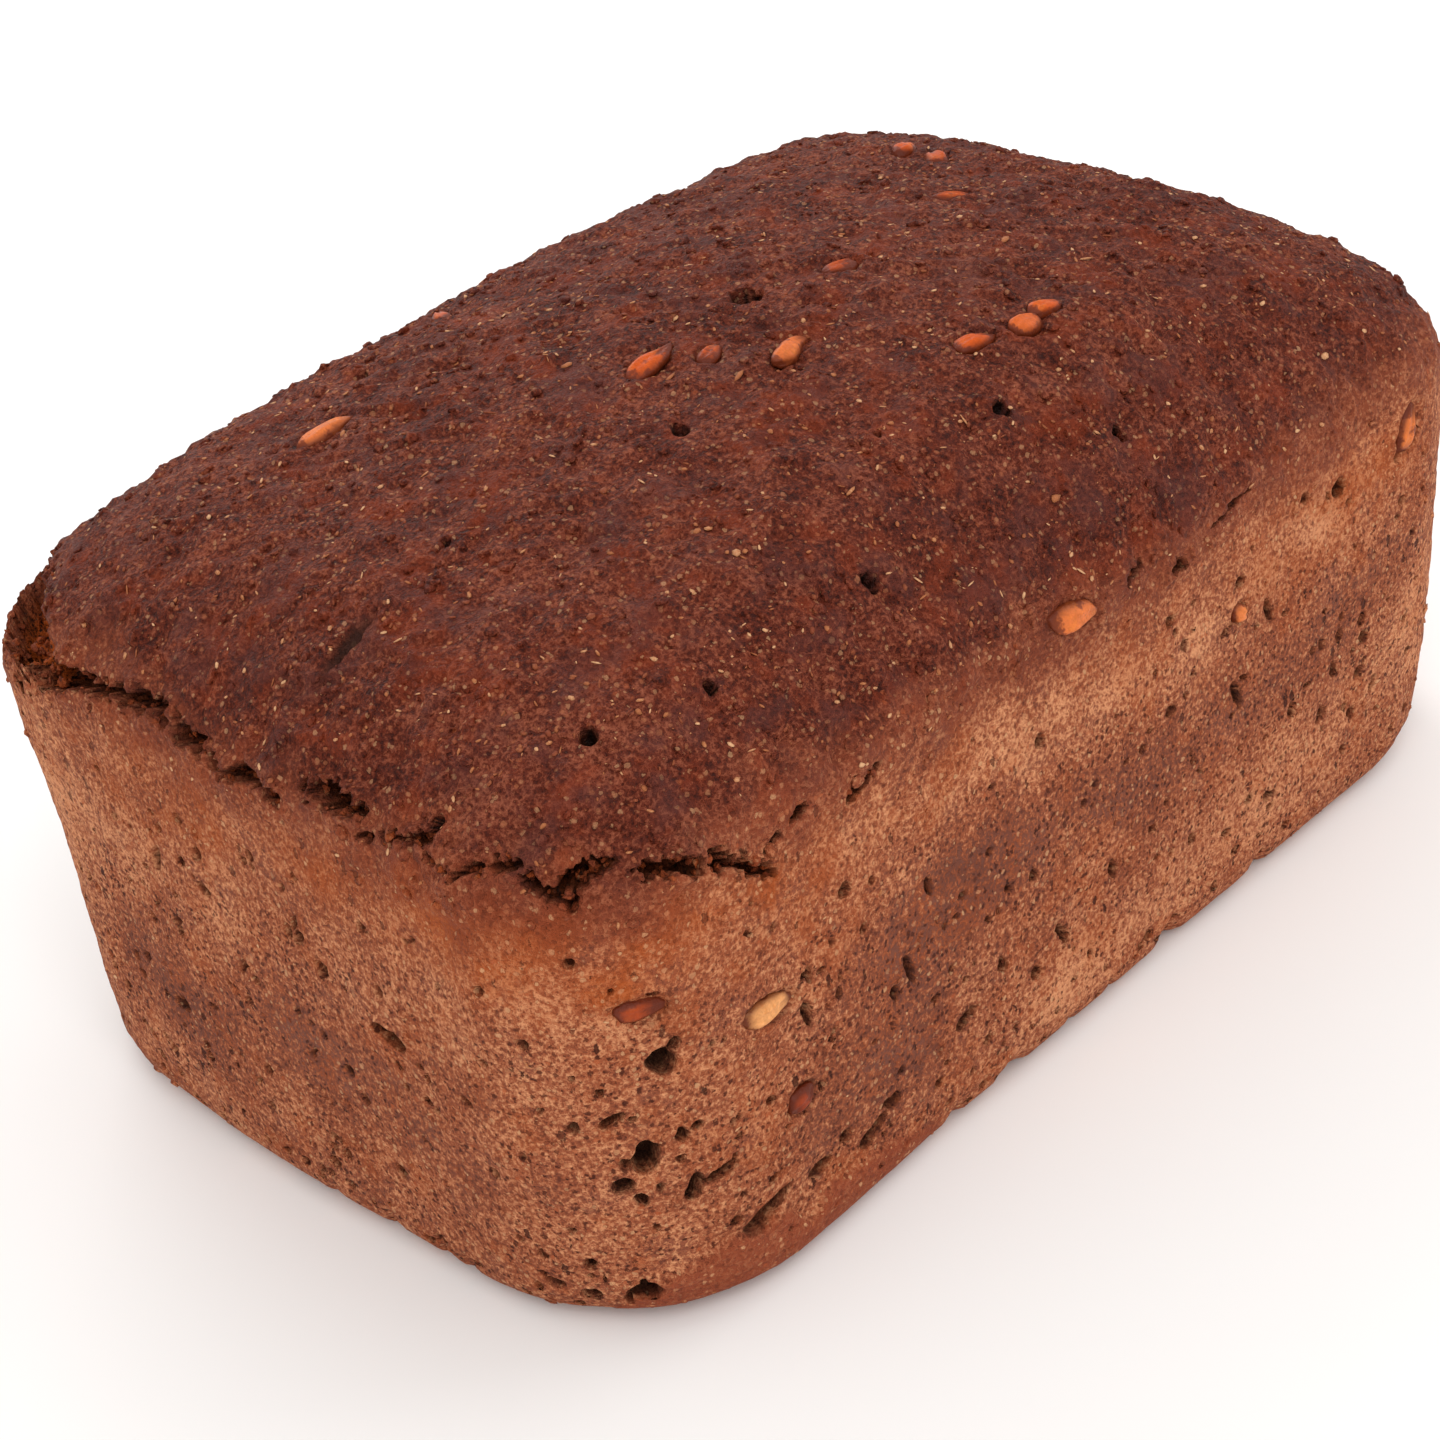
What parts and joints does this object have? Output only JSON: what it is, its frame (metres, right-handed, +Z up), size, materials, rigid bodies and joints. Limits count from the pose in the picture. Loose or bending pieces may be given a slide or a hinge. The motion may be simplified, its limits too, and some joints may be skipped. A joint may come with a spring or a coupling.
{
  "type": "rye bread loaf",
  "caption": "Whole uncut rye bread baked in a tin, with a gently domed top, round shoulders, an oven crack under the top crust and whole grains baked into the crust.",
  "frame": {"origin": "middle of the loaf's flat base", "axes": "+X along the loaf, +Y across it, +Z up; the cracked short end is at -X"},
  "size_m": [0.1938, 0.1302, 0.0973],
  "materials": {
    "rye_crust": "dark reddish brown baked crust, matte with a faint sheen on top, lighter and finely porous on the sides",
    "rye_grain": "whole soaked rye grains, baked orange brown, slightly glossy",
    "bran_flake": "pale tan bran flakes, matte"
  },
  "bodies": {
    "root": {"loaf": "rye_crust"}
  },
  "joints": []
}
